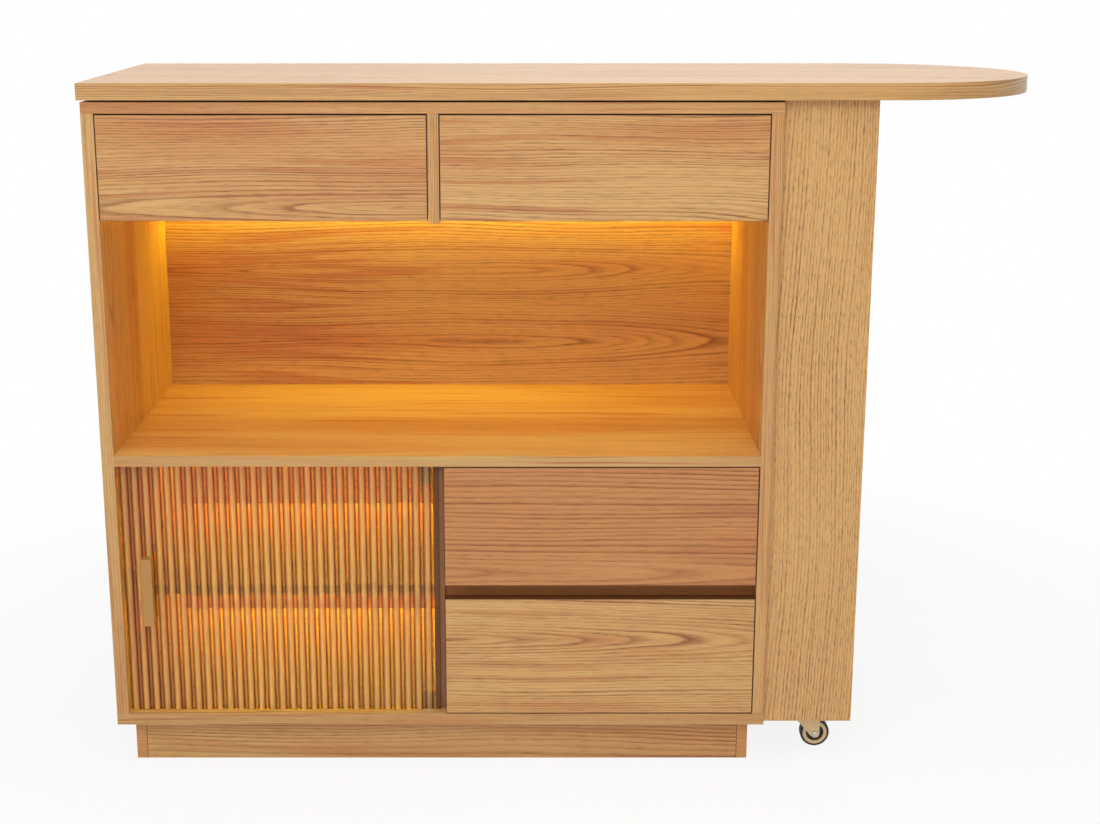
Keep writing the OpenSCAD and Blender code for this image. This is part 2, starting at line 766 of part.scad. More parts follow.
// A rail on each wall of each drawer bay: a web on the wall and a ledge under the runner
module cabinet_rails() {
    color([0.70, 0.70, 0.70]) at_home()
        for (d = DRAWERS) {
            z = d[4] + rail_lift;
            board([d[0], rail_start, z], [d[0] + runner_sheet, rail_end, z + rail_h]);
            board([d[0], rail_start, z], [d[0] + runner_sheet + rail_ledge, rail_end, z + runner_sheet]);
            board([d[1] - runner_sheet, rail_start, z], [d[1], rail_end, z + rail_h]);
            board([d[1] - runner_sheet - rail_ledge, rail_start, z], [d[1], rail_end, z + runner_sheet]);
        }
}

// Two slotted tracks let into the top board
module guide_tracks() {
    color([0.75, 0.76, 0.78]) at_home()
        for (y = TRACK_Y)
            difference() {
                board([track_start, y - track_w / 2, track_z],
                    [track_start + track_l, y + track_w / 2, carcass_h]);
                board([track_start - BORE_CUT, y - track_w / 2 + track_wall, track_z + track_floor],
                    [track_start + track_l + BORE_CUT, y + track_w / 2 - track_wall, carcass_h - track_wall]);
                board([track_start - BORE_CUT, y - track_slot / 2, track_z + track_floor],
                    [track_start + track_l + BORE_CUT, y + track_slot / 2, carcass_h + BORE_CUT]);
            }
}

// Each shoe has a foot under the track's lips, a neck in its slot and a plate under the bar top
module guide_shoes() {
    foot_w = track_w - 2 * track_wall - 2 * shoe_clear;
    foot_z = track_z + track_floor + shoe_clear;
    foot_top = carcass_h - track_wall - shoe_clear;
    neck_w = track_slot - 2 * shoe_clear;
    color([0.20, 0.20, 0.20]) at_home()
        for (y = TRACK_Y, x = [shoe_start, shoe_start + shoe_pitch]) {
            board([x, y - foot_w / 2, foot_z], [x + shoe_l, y + foot_w / 2, foot_top]);
            board([x, y - neck_w / 2, foot_z], [x + shoe_l, y + neck_w / 2, bar_z]);
            board([x, y - shoe_plate_w / 2, bar_z - shoe_plate_t], [x + shoe_l, y + shoe_plate_w / 2, bar_z]);
        }
}

// The bar top is straight to the left and ends in a half circle on the right
module bar_top() {
    end_r = bar_d / 2;
    end_x = bar_l - bar_left_overhang - end_r;
    color([0.88, 0.76, 0.56]) at_home()
        union() {
            board([-bar_left_overhang, -bar_front_overhang, bar_z],
                [end_x, bar_d - bar_front_overhang, bar_z + bar_t]);
            translate([end_x, end_r - bar_front_overhang, bar_z])
                cylinder(r = end_r, h = bar_t, $fn = FINE_FN);
        }
}

module leg_front() {
    color([0.76, 0.60, 0.40]) at_home()
        board([leg_left, leg_y, leg_z], [leg_right, leg_y + leg_t, bar_z]);
}

module leg_back() {
    color([0.76, 0.60, 0.40]) at_home()
        board([leg_left, leg_end_y - leg_t, leg_z], [leg_right, leg_end_y, bar_z]);
}

module leg_outer() {
    color([0.76, 0.60, 0.40]) at_home()
        board([leg_right - leg_t, leg_y + leg_t, leg_z], [leg_right, leg_end_y - leg_t, bar_z]);
}

module leg_inner() {
    color([0.76, 0.60, 0.40]) at_home()
        board([leg_left, leg_y + leg_t, leg_z], [leg_left + leg_t, leg_end_y - leg_t, bar_z]);
}

module leg_bottom() {
    color([0.76, 0.60, 0.40]) at_home()
        board([leg_left + leg_t, leg_y + leg_t, leg_z],
            [leg_right - leg_t, leg_end_y - leg_t, leg_z + leg_t]);
}

module leg_cleat() {
    color([0.76, 0.60, 0.40]) at_home()
        board([leg_left + leg_t, leg_y + leg_t, bar_z - cleat_h],
            [leg_right - leg_t, leg_end_y - leg_t, bar_z]);
}

// Each plate carries its swivel head and the king pin that the fork turns on
module castor_plates() {
    color([0.78, 0.74, 0.64]) at_home()
        for (y = [front_castor_y, rear_castor_y])
            translate([castor_x, y, 0])
                union() {
                    board([-castor_plate / 2, -castor_plate / 2, leg_z - castor_plate_t],
                        [castor_plate / 2, castor_plate / 2, leg_z]);
                    translate([0, 0, castor_head_z])
                        cylinder(r = castor_head_r, h = castor_head_h);
                    translate([0, 0, crown_z - swivel_gap - king_head_t])
                        cylinder(d = king_pin_d, h = leg_z - crown_z);
                    translate([0, 0, crown_z - swivel_gap - king_head_t])
                        cylinder(r = king_head_r, h = king_head_t);
                }
}

// The fork's crown turns on the king pin and its two raked cheeks hold the axle
module castor_fork(y) {
    color([0.86, 0.78, 0.62]) at_home()
        translate([castor_x, y, 0])
            difference() {
                union() {
                    translate([0, 0, crown_z]) cylinder(r = castor_head_r, h = crown_t);
                    board([-castor_head_r / 2, -cheek_y - cheek_t, crown_z],
                        [castor_trail + axle_head_r, cheek_y + cheek_t, crown_z + crown_t]);
                    for (s = [-cheek_y, cheek_y + cheek_t])
                        translate([0, s, 0]) rotate([90, 0, 0])
                            linear_extrude(height = cheek_t) cheek_outline();
                }
                translate([0, 0, crown_z - BORE_CUT])
                    cylinder(d = king_pin_d + 2 * castor_clear, h = crown_t + 2 * BORE_CUT);
                translate([castor_trail, cheek_y + cheek_t + BORE_CUT, axle_z]) rotate([90, 0, 0])
                    cylinder(d = axle_d, h = 2 * (cheek_y + cheek_t + BORE_CUT));
            }
}

// A cheek narrows from the crown down to a round eye at the axle
module cheek_outline() {
    eye_r = axle_head_r + eye_margin;
    crown_top = crown_z + crown_t;
    polygon([
        [-cheek_reach, crown_top],
        [castor_trail + eye_r, crown_top],
        [castor_trail + eye_r, axle_z],
        [castor_trail, axle_z - eye_r],
        [castor_trail - eye_r, axle_z - eye_r / 2]
    ]);
    translate([castor_trail, axle_z]) circle(r = eye_r);
}

module castor_axle(y) {
    shank_l = 2 * (cheek_y + cheek_t);
    color([0.82, 0.80, 0.76]) at_home()
        translate([castor_x + castor_trail, y + shank_l / 2, axle_z]) rotate([90, 0, 0])
            union() {
                translate([0, 0, -axle_head_t]) cylinder(d = axle_d, h = shank_l + 2 * axle_head_t);
                translate([0, 0, -axle_head_t]) cylinder(r = axle_head_r, h = axle_head_t);
                translate([0, 0, shank_l]) cylinder(r = axle_head_r, h = axle_head_t);
            }
}

// The wheel has a rim, a thin web and a boss that turns on the axle
module castor_wheel(y) {
    bore_r = axle_d / 2 + castor_clear;
    rim_w = tyre_w - 2 * rim_recess;
    boss_w = 2 * cheek_y - cheek_gap;
    color([0.88, 0.80, 0.64]) at_home()
        translate([castor_x + castor_trail, y, axle_z]) rotate([90, 0, 0])
            rotate_extrude()
                union() {
                    translate([hub_r - rim_t, -rim_w / 2]) square([rim_t, rim_w]);
                    translate([bore_r, -web_t / 2]) square([hub_r - bore_r - rim_t / 2, web_t]);
                    translate([bore_r, -boss_w / 2]) square([boss_r - bore_r, boss_w]);
                }
}

// The tyre has round shoulders
module castor_tyre(y) {
    r = tyre_shoulder_r;
    color([0.08, 0.08, 0.08]) at_home()
        translate([castor_x + castor_trail, y, axle_z]) rotate([90, 0, 0])
            rotate_extrude()
                union() {
                    translate([hub_r, -tyre_w / 2]) square([tyre_t - r, tyre_w]);
                    translate([hub_r, r - tyre_w / 2]) square([tyre_t, tyre_w - 2 * r]);
                    for (z = [r - tyre_w / 2, tyre_w / 2 - r])
                        intersection() {
                            translate([wheel_d / 2 - r, z]) circle(r = r);
                            translate([hub_r, -tyre_w / 2]) square([tyre_t, tyre_w]);
                        }
                }
}

module front_castor_fork() { castor_fork(front_castor_y); }
module front_castor_axle() { castor_axle(front_castor_y); }
module front_castor_wheel() { castor_wheel(front_castor_y); }
module front_castor_tyre() { castor_tyre(front_castor_y); }
module rear_castor_fork() { castor_fork(rear_castor_y); }
module rear_castor_axle() { castor_axle(rear_castor_y); }
module rear_castor_wheel() { castor_wheel(rear_castor_y); }
module rear_castor_tyre() { castor_tyre(rear_castor_y); }

side_panel_left();
side_panel_right();
carcass_top();
carcass_bottom();
middle_shelf();
upper_divider();
lower_divider();
door_stop_strip();
niche_ceiling();
back_panel();
plinth_ends();
plinth_rails();
inner_shelf();
shelf_pins();
finger_rail();
light_channels();
light_diffusers();
light_driver();
supply_socket();
light_cable();
door_glass();
door_handle();
door_pivots();
pivot_bushes();
upper_left_front();
upper_left_box();
upper_left_bottom();
upper_left_runners();
upper_right_front();
upper_right_box();
upper_right_bottom();
upper_right_runners();
lower_top_front();
lower_top_box();
lower_top_bottom();
lower_top_runners();
lower_bottom_front();
lower_bottom_box();
lower_bottom_bottom();
lower_bottom_runners();
cabinet_rails();
guide_tracks();
guide_shoes();
bar_top();
leg_front();
leg_back();
leg_outer();
leg_inner();
leg_bottom();
leg_cleat();
castor_plates();
front_castor_fork();
front_castor_axle();
front_castor_wheel();
front_castor_tyre();
rear_castor_fork();
rear_castor_axle();
rear_castor_wheel();
rear_castor_tyre();
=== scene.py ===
"""Dresses the bar cabinet: oak boards, fluted glass door, warm lights, castors and a plain studio."""

import json
import math
import random
from dataclasses import dataclass

import bmesh
import bpy
from bpy.props import FloatProperty, FloatVectorProperty, IntProperty, PointerProperty
from mathutils import Matrix, Vector


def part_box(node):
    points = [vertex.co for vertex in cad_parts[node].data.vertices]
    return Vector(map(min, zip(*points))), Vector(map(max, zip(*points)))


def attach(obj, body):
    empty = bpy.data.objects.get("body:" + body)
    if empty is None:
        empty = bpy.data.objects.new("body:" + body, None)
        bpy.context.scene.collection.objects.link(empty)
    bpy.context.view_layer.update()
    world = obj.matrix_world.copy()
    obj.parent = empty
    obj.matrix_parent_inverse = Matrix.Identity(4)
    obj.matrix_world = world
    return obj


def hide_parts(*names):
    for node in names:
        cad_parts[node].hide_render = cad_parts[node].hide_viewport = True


bl_info = {
    "name": "Bar cabinet",
    "version": (1, 0, 0),
    "blender": (4, 5, 0),
    "location": "3D View > Sidebar > Bar cabinet",
    "description": "Dresses the bar cabinet's parts with their finishes and sets up its studio",
    "category": "Object",
}

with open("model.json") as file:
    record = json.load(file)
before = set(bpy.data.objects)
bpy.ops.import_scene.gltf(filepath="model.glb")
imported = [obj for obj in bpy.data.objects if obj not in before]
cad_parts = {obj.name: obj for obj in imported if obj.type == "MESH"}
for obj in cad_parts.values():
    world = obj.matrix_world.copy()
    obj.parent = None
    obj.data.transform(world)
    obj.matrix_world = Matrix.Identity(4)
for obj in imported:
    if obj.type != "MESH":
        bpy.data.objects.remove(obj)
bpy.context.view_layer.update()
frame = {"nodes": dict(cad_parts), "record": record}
NODES = frame["nodes"]
BODY = {node: body for body, nodes in frame["record"]["behaviour"]["bodies"].items() for node in nodes}
DRAWERS = ("upper_left", "upper_right", "lower_top", "lower_bottom")
CASTORS = ("front", "rear")

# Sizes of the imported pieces, in metres
RIB_COUNT = 29
RIB_HEIGHT = 0.002
RUNNER_ROOM = 0.013
RAIL_SHEET = 0.002
WHEEL_RIM = 0.0055
PLATE_SHEET = 0.0025

# Places and heights of the screws and bolts, in metres
RAIL_SCREW_INSET = 0.037
RAIL_SCREW_LEVEL = 0.023
PLATE_SCREW_INSET = 0.0058
BOLT_HEAD = 0.0025
NUT_CHAMFER = 0.0004

# A screw head, from its sunk side to the bottom of its recess: share of its radius, and height
SCREW_HEAD = ((1.0, -0.0004), (1.0, 0.0001), (0.86, 0.0005), (0.42, 0.0006), (0.30, 0.0002), (0.0, -0.0002))

# A bolt's dome, from its tip to its rim: share of its radius, and distance from the tip
BOLT_DOME = ((0.0, 0.0), (0.4, 0.0001), (0.8, 0.0007), (1.0, 0.0017))

# A ring's darkness across its width: a sharp dark start, then a slow fade
RING_STOPS = ((0.0, 0.12), (0.11, 1.0), (0.27, 0.62), (0.52, 0.12), (0.85, 0.0), (1.0, 0.12))


def shown(red, green, blue):
    """A colour as it shows on a screen, 0 to 255, as the linear colour that a shader takes."""
    scaled = [c / 255 for c in (red, green, blue)]
    return tuple(c / 12.92 if c <= 0.04045 else ((c + 0.055) / 1.055) ** 2.4 for c in scaled)


def darker(colour, share):
    """A colour at a share of its brightness."""
    return [c * share for c in colour]


def colour_prop(name, description, red, green, blue):
    """A colour that the user can change, given as it shows on a screen."""
    return FloatVectorProperty(name=name, description=description, subtype="COLOR", size=3,
                               min=0.0, max=1.0, default=shown(red, green, blue))


def light_prop(name, description, red, green, blue):
    """A light's colour that the user can change, given as linear values."""
    return FloatVectorProperty(name=name, description=description, subtype="COLOR", size=3,
                               min=0.0, max=1.0, default=(red, green, blue))


def length_prop(name, description, default):
    """A length that the user can change, in metres."""
    return FloatProperty(name=name, description=description, unit="LENGTH", min=0.0, default=default)


def power_prop(name, description, default):
    """A lamp's power that the user can change, in watts."""
    return FloatProperty(name=name, description=description, unit="POWER", min=0.0, default=default)


class WoodLook(bpy.types.PropertyGroup):
    """The oak of the boards."""

    tan: colour_prop("Tan", "Oak between the grain lines, in its yellower bands", 223, 177, 112)
    rose: colour_prop("Rose", "Oak between the grain lines, in its pinker bands", 209, 144, 84)
    line: colour_prop("Line", "Earlywood lines of the oak", 146, 80, 36)
    pore: colour_prop("Pore", "Pores of the oak", 108, 60, 28)
    streak: colour_prop("Streak", "Broad reddish streaks in the oak", 196, 124, 70)
    # Painted shade: this dark colour stands for the shade in the recess beside the door, and in the finger
    # gap on the lowest front's top edge
    strip: colour_prop("Strip", "Dark oak strip beside the door", 104, 60, 22)
    # Painted shade: the divider's front face is darkened for the shade in its recess between the door and
    # the drawers
    divider: colour_prop("Divider edge", "Stained edge between the door and the drawers", 148, 94, 54)
    # Painted shade: a dark rim round each drawer front that stands for the shade in the gaps between the
    # fronts
    gap: colour_prop("Eased edges", "Dark eased edges round the drawer fronts", 52, 32, 18)
    rail: colour_prop("Rail", "Stained oak in the finger gap", 238, 158, 92)
    # Painted light: the loose shelf's front edge is painted pale so that it shows lit behind the glass,
    # where it lies in shade
    shelf: colour_prop("Shelf edge", "Greyed front edge of the loose shelf behind the glass", 232, 208, 180)
    birch: colour_prop("Birch", "Drawer boxes and bottoms", 222, 196, 156)
    ring_pitch: length_prop("Ring pitch", "Distance between two growth rings", 0.0046)
    edge: length_prop("Edge radius", "Round of the boards' edges", 0.0004)


class GlassLook(bpy.types.PropertyGroup):
    """The fluted glass of the door."""

    clear: colour_prop("Clear glass", "Flat glass between the ribs", 236, 224, 160)
    milk: colour_prop("Milky glass", "Ribs of the glass", 250, 202, 140)
    # Painted shade: the ribs' sides are darker, standing for the dark edges of a curved rib
    edge: colour_prop("Rib sides", "Sides of the ribs", 182, 122, 76)
    # Painted highlight: a bright line along the middle of each rib, in front and behind
    crest_highlight: colour_prop("Rib crests", "Bright line along the middle of a rib", 255, 240, 192)
    shadow: colour_prop("Rib shadows", "Dark lines in the flat glass beside the ribs", 142, 84, 36)
    milkiness: FloatProperty(name="Milkiness", description="Share of its light that a rib scatters",
                             min=0.0, max=1.0, subtype="FACTOR", default=0.74)


class LightLook(bpy.types.PropertyGroup):
    """The warm strips in the niche and behind the glass."""

    glow: light_prop("Glow", "Light of the strips in the niche", 0.58, 0.49, 0.018)
    low_glow: light_prop("Low glow", "Light of the strips behind the glass", 1.0, 1.0, 0.03)
    strength: FloatProperty(name="Strength", description="Brightness of the warm strips", min=0.0,
                            default=100.0)


class HardwareLook(bpy.types.PropertyGroup):
    """Handle, castors, runners and guides."""

    handle: colour_prop("Handle", "Matt brass of the door handle", 184, 136, 76)
    cream: colour_prop("Castor", "Cream-coated castor fork and wheel", 252, 224, 174)
    runner: colour_prop("Runners", "Dark-coated drawer runners and rails", 62, 62, 64)
    steel: colour_prop("Steel", "Zinc-plated screws, bolts and pins", 196, 196, 194)
    aluminium: colour_prop("Aluminium", "Guide tracks and light channels", 205, 206, 208)
    rubber: colour_prop("Rubber", "Castor tyres", 22, 22, 22)
    screw_radius: length_prop("Screw radius", "Radius of the screw heads", 0.0036)


class StudioLook(bpy.types.PropertyGroup):
    """Camera, floor and lamps."""

    eye: FloatVectorProperty(name="Camera place", description="Where the camera stands", size=3,
                             subtype="TRANSLATION", unit="LENGTH", default=(-0.05875, -2.784, 1.225))
    pitch: FloatProperty(name="Camera pitch", description="How far the camera looks down", subtype="ANGLE",
                         default=math.radians(14.4))
    lens: FloatProperty(name="Lens", description="Focal length in millimetres", min=10.0, default=58.3)
    shift: FloatProperty(name="Shift", description="Sideways shift of the picture", default=0.019)
    floor: colour_prop("Floor", "Pale studio floor", 250, 250, 249)
    ambient: FloatProperty(name="Ambient", description="Light that comes from all round", min=0.0,
                           default=0.25)
    key: power_prop("Key", "Power of the high front lamp", 68.0)
    fill: power_prop("Fill", "Power of the low front lamp", 11.0)
    back: power_prop("Back", "Power of the lamp behind the cabinet", 24.0)
    top: power_prop("Top", "Power of the lamp overhead", 52.0)


class CabinetLook(bpy.types.PropertyGroup):
    """Everything that can be set on the bar cabinet."""

    wood: PointerProperty(name="Wood", description="Oak boards", type=WoodLook)
    glass: PointerProperty(name="Glass", description="Fluted glass", type=GlassLook)
    lights: PointerProperty(name="Lights", description="Warm strips", type=LightLook)
    hardware: PointerProperty(name="Hardware", description="Metal and plastic parts", type=HardwareLook)
    studio: PointerProperty(name="Studio", description="Camera, floor and lamps", type=StudioLook)
    segments: IntProperty(name="Edge segments", description="Steps in a rounded edge", min=1, default=2)


class Sock:
    """A node's output that takes part in Python arithmetic by adding Math nodes."""

    def __init__(self, nodes, output):
        self.nodes = nodes
        self.output = output

    def maths(self, operation, *values):
        """A Math node on the given values."""
        return self.nodes.add("ShaderNodeMath", {"operation": operation}, dict(enumerate(values)))

    def __add__(self, other):
        return self.maths("ADD", self, other)

    def __radd__(self, other):
        return self.maths("ADD", other, self)

    def __sub__(self, other):
        return self.maths("SUBTRACT", self, other)

    def __rsub__(self, other):
        return self.maths("SUBTRACT", other, self)

    def __mul__(self, other):
        return self.maths("MULTIPLY", self, other)

    def __rmul__(self, other):
        return self.maths("MULTIPLY", other, self)

    def __truediv__(self, other):
        return self.maths("DIVIDE", self, other)

    def most(self, other):
        """The larger of two values."""
        return self.maths("MAXIMUM", self, other)

    def root(self):
        """The square root."""
        return self.maths("SQRT", self)

    def fraction(self):
        """What is left of a value above its whole number."""
        return self.maths("FRACT", self)

    def floor(self):
        """The whole number below a value."""
        return self.maths("FLOOR", self)

    def size(self):
        """The value without its sign."""
        return self.maths("ABSOLUTE", self)

    def above(self, low, high):
        """0 below low, 1 above high and a smooth climb between them."""
        return self.nodes.add("ShaderNodeMapRange", {"interpolation_type": "SMOOTHSTEP"},
                              {"Value": self, "From Min": low, "From Max": high})


class Nodes:
    """A node tree that is built up in Python."""

    def __init__(self, tree):
        self.tree = tree

    def add(self, kind, settings=None, sockets=None, out=0):
        """Adds a node: its settings first, a ramp's stops among them, then its sockets' values or links."""
        node = self.tree.nodes.new(kind)
        for key, value in (settings or {}).items():
            if key == "stops":
                set_stops(node.color_ramp, value)
            else:
                setattr(node, key, value)
        for key, value in (sockets or {}).items():
            self.feed(node.inputs[key], value)
        return Sock(self, node.outputs[out])

    def feed(self, socket, value):
        """Links a socket to a Sock, or gives it a plain value."""
        if isinstance(value, Sock):
            self.tree.links.new(value.output, socket)
        elif socket.type == "RGBA" and len(value) == 3:
            socket.default_value = (*value, 1.0)
        else:
            socket.default_value = value

    def place(self):
        """The three coordinates of the piece, in metres."""
        where = self.add("ShaderNodeTexCoord", out="Object")
        return [self.add("ShaderNodeSeparateXYZ", None, {0: where}, out=i) for i in range(3)]

    def noise(self, x, y, z, detail=1.0, roughness=0.5):
        """Smooth noise from 0 to 1 at the given place, with one bump per unit."""
        where = self.add("ShaderNodeCombineXYZ", None, {0: x, 1: y, 2: z})
        return self.add("ShaderNodeTexNoise", None, {"Vector": where, "Scale": 1.0, "Detail": detail,
                                                     "Roughness": roughness})

    def mix(self, factor, first, second, blend="MIX"):
        """A colour between two colours, or another blend of them."""
        return self.add("ShaderNodeMix", {"data_type": "RGBA", "blend_type": blend},
                        {0: factor, 6: first, 7: second}, out=2)

    def join(self, factor, first, second):
        """A shader between two shaders."""
        return self.add("ShaderNodeMixShader", None, {0: factor, 1: first, 2: second})

    def show(self, output, shader):
        """Makes a shader the one that the tree's output shows."""
        self.feed(self.tree.nodes[output].inputs["Surface"], shader)

    def background_rays(self):
        """1 where a ray comes straight from the camera, a gloss or a glass."""
        camera, glossy, glass = (self.add("ShaderNodeLightPath", out=name)
                                 for name in ("Is Camera Ray", "Is Glossy Ray", "Is Transmission Ray"))
        return camera.most(glossy.most(glass))


class Shade(Nodes):
    """One material and the nodes that make it."""

    def __init__(self, name):
        self.material = bpy.data.materials.new(name)
        self.material.use_nodes = True
        super().__init__(self.material.node_tree)
        self.surface = self.tree.nodes["Principled BSDF"]

    def lit(self):
        """The material's main surface, to be joined with other shaders."""
        return Sock(self, self.surface.outputs[0])

    def bump(self, height, depth, strength=0.5):
        """The normal of a surface whose relief is height times depth, in metres."""
        return self.add("ShaderNodeBump", None, {"Height": height, "Distance": depth, "Strength": strength})

    def finish(self, **sockets):
        """Feeds the surface's sockets, where an underscore in a name stands for a space."""
        for name, value in sockets.items():
            self.feed(self.surface.inputs[name.replace("_", " ")], value)
        return self.material


def set_stops(ramp, stops):
    """Gives a ramp its stops, each a place and a grey from 0 to 1."""
    while len(ramp.elements) > 1:
        ramp.elements.remove(ramp.elements[0])
    for i, (place, grey) in enumerate(stops):
        stop = ramp.elements[0] if i == 0 else ramp.elements.new(place)
        stop.position = place
        stop.color = (grey, grey, grey, 1.0)


@dataclass
class Grain:
    """How a board was cut and how strongly it is marked."""

    # The board's length, width and thickness
    axes: str = "XZY"
    # The tree's heart in metres: across the board from its middle, and behind its face
    heart: float = 0.0
    depth: float = 0.045
    # Half the distance between the hearts of two matched leaves of veneer, where there are two
    leaf: float = 0.0
    # How much the heart leaves the face per metre, and how far in metres the rings swing
    taper: float = 0.05
    wander: float = 0.028
    # Ring pitch as a share of the usual one, and how uneven the years are, in rings
    pitch: float = 1.0
    years: float = 4.5
    # Strength of the rings' lines
    lines: float = 1.0
    # Pores per metre of length, and their strength
    dashes: float = 36.0
    pores: float = 0.75
    # Strength of the reddish streaks, share of the pinker oak, and the tint over everything
    streaks: float = 0.7
    rose: float = 0.5
    tone: tuple = (1.0, 1.0, 1.0)
    roughness: float = 0.40
    # How fast the layers change over the board's narrow edges, or 0 where these follow the face
    band: float = 1.8


def near_face(distance, half, reach=0.0003, fade=0.0006):
    """1 within reach of a board's face, half its size from its middle, with a soft border below."""
    return distance.above(half - reach - fade, half - reach)


def oak(name, wood, grain, box, overlay=None):
    """Plain-sawn oak: rings round a slanted heart, pores along them, bands of tone, and banded edges."""
    shade = Shade(name)
    start = random.Random(name).uniform(2.0, 40.0)
    low, high = box
    axis = dict(zip("XYZ", (c - m for c, m in zip(shade.place(), (low + high) / 2))))
    along, across, into = (axis[a] for a in grain.axes)
    if grain.band:
        half = (high - low)["XYZ".index(grain.axes[2])] / 2
        edge = 1 - near_face(into.size(), half, reach=0.0002, fade=0.0004)
        along = along + edge * across
        across = across + edge * (into * grain.band + 0.1 - across)

    def figure(per_length, per_width, **settings):
        """Noise with so many bumps per metre along the board, and across and into it."""
        return shade.noise(along * per_length + start, across * per_width, into * per_width, **settings)

    # Distance from the heart, in metres and then in rings
    swing = figure(1.5, 8) - 0.5
    ripple = figure(10, 50, detail=2.0) - 0.5
    side = across - grain.heart
    if grain.leaf:
        side = side.size() - grain.leaf
    behind = into + grain.depth - along * grain.taper
    radius = (side * side + behind * behind).root() + swing * (2 * grain.wander) + ripple * 0.003
    growth = shade.noise(radius * 26 + start, along * 0.3, 0.0) - 0.5
    rings = radius / (wood.ring_pitch * grain.pitch) + growth * grain.years

    # Each ring's line has its own weight, and comes and goes along the board
    weight = shade.add("ShaderNodeTexWhiteNoise", {"noise_dimensions": "1D"}, {"W": rings.floor() + start})
    clarity = figure(2.2, 16).above(0.3, 0.65)
    line = shade.add("ShaderNodeValToRGB", {"stops": RING_STOPS}, {0: rings.fraction()})
    line = line * (0.3 + 0.7 * weight) * (0.5 + 0.5 * clarity)
    pore = figure(grain.dashes, 640).above(0.52, 0.64) * (0.2 + 0.8 * line)
    fibre = figure(grain.dashes * 0.35, 900, detail=2.0)
    patch = figure(1.1, 11, detail=3.0, roughness=0.6)
    streak = shade.noise(along * 2.6 + start, rings * 0.45, 0.0).above(0.56, 0.7)

    colour = shade.mix((patch + (grain.rose - 0.5)).above(0.34, 0.66), wood.tan, wood.rose)
    colour = shade.mix(streak * grain.streaks, colour, wood.streak)
    colour = shade.mix(line * grain.lines, colour, wood.line)
    colour = shade.mix(pore * grain.pores, colour, wood.pore)
    colour = shade.mix(fibre.above(0.4, 0.75) * 0.24, colour, wood.line)
    colour = shade.mix(1.0, colour, grain.tone, "MULTIPLY")
    if overlay:
        colour = overlay(shade, axis, colour)
    relief = fibre * 0.25 - pore - line * 0.25
    return shade.finish(Base_Color=colour, Roughness=grain.roughness + 0.18 * pore + 0.08 * fibre,
                        Normal=shade.bump(relief, 0.0003, 0.6))


def face_tone_shade_and_light(node, axis_name, side, colour, cover=1.0, reach=0.0003):
    """A colour over a board's faces at the low (-1), the high (1) or both (0) ends of an axis; callers lay
    tones, painted shade and painted light with it.
    """
    low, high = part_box(node)
    half = (high - low)["XYZ".index(axis_name)] / 2

    def overlay(shade, axis, oak_colour):
        out = side * axis[axis_name] if side else axis[axis_name].size()
        return shade.mix(near_face(out, half, reach) * cover, oak_colour, colour)
    return overlay


def rear_tone(node, tone):
    """Another tone for a board's rear face."""
    low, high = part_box(node)
    half = (high.y - low.y) / 2

    def overlay(shade, axis, oak_colour):
        toned = shade.mix(1.0, oak_colour, tone, "MULTIPLY")
        return shade.mix(near_face(axis["Y"], half), oak_colour, toned)
    return overlay


def rim_painted_shade(node, colour, under=None):
    """Painted shade round the edges of a drawer front's face, standing for the shade in the gaps between the
    fronts, laid over another colour.
    """
    low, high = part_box(node)
    half = (high - low) / 2

    def overlay(shade, axis, oak_colour):
        if under:
            oak_colour = under(shade, axis, oak_colour)
        sides = near_face(axis["X"].size(), half.x, fade=0.0004)
        ends = near_face(axis["Z"].size(), half.z, fade=0.0004)
        face = 1 - (axis["Y"] + half.y).above(0.002, 0.0025)
        return shade.mix(sides.most(ends) * face * 0.85, oak_colour, colour)
    return overlay


def fibre_oak(node, colour):
    """Oak in one given colour that shows little but its fibres; for the strip beside the door that colour is
    painted shade.
    """
    shade = Shade("oak_" + node)
    x, y, z = shade.place()
    fibre = shade.noise(x * 40, y * 600, z * 600, detail=2.0)
    stained = shade.mix(fibre.above(0.3, 0.7), colour, darker(colour, 0.8))
    return shade.finish(Base_Color=stained, Roughness=0.5 + 0.1 * fibre, Normal=shade.bump(fibre, 0.0002))


def birch(node, pale):
    """Pale birch with faint long flames."""
    shade = Shade("birch_" + node)
    x, y, z = shade.place()
    flame = shade.noise(x * 5, y * 5, z * 60, detail=3.0)
    fibre = shade.noise(x * 60, y * 60, z * 900, detail=2.0)
    colour = shade.mix(flame.above(0.3, 0.7) * 0.6 + fibre * 0.3, pale, darker(pale, 0.78))
    return shade.finish(Base_Color=colour, Roughness=0.45 + 0.1 * fibre,
                        Normal=shade.bump(fibre, 0.0001, 0.4))


def plain(name, colour, metallic=0.0, roughness=0.45, spread=0.08, grit=900.0, stretch=(1, 1, 1)):
    """Metal, plastic or enamel: one colour, with uneven gloss and so many fine bumps, or grit, per metre."""
    shade = Shade(name)
    x, y, z = (c * grit * s for c, s in zip(shade.place(), stretch))
    fine = shade.noise(x, y, z, detail=2.0)
    broad = shade.noise(x * 0.04, y * 0.04, z * 0.04, detail=3.0)
    mottled = shade.mix(broad.above(0.3, 0.7) * 0.6 + fine * 0.25, colour, darker(colour, 0.86))
    uneven = roughness + (broad - 0.5) * (2 * spread)
    return shade.finish(Base_Color=mottled, Metallic=metallic, Roughness=uneven,
                        Normal=shade.bump(fine, 0.00005))


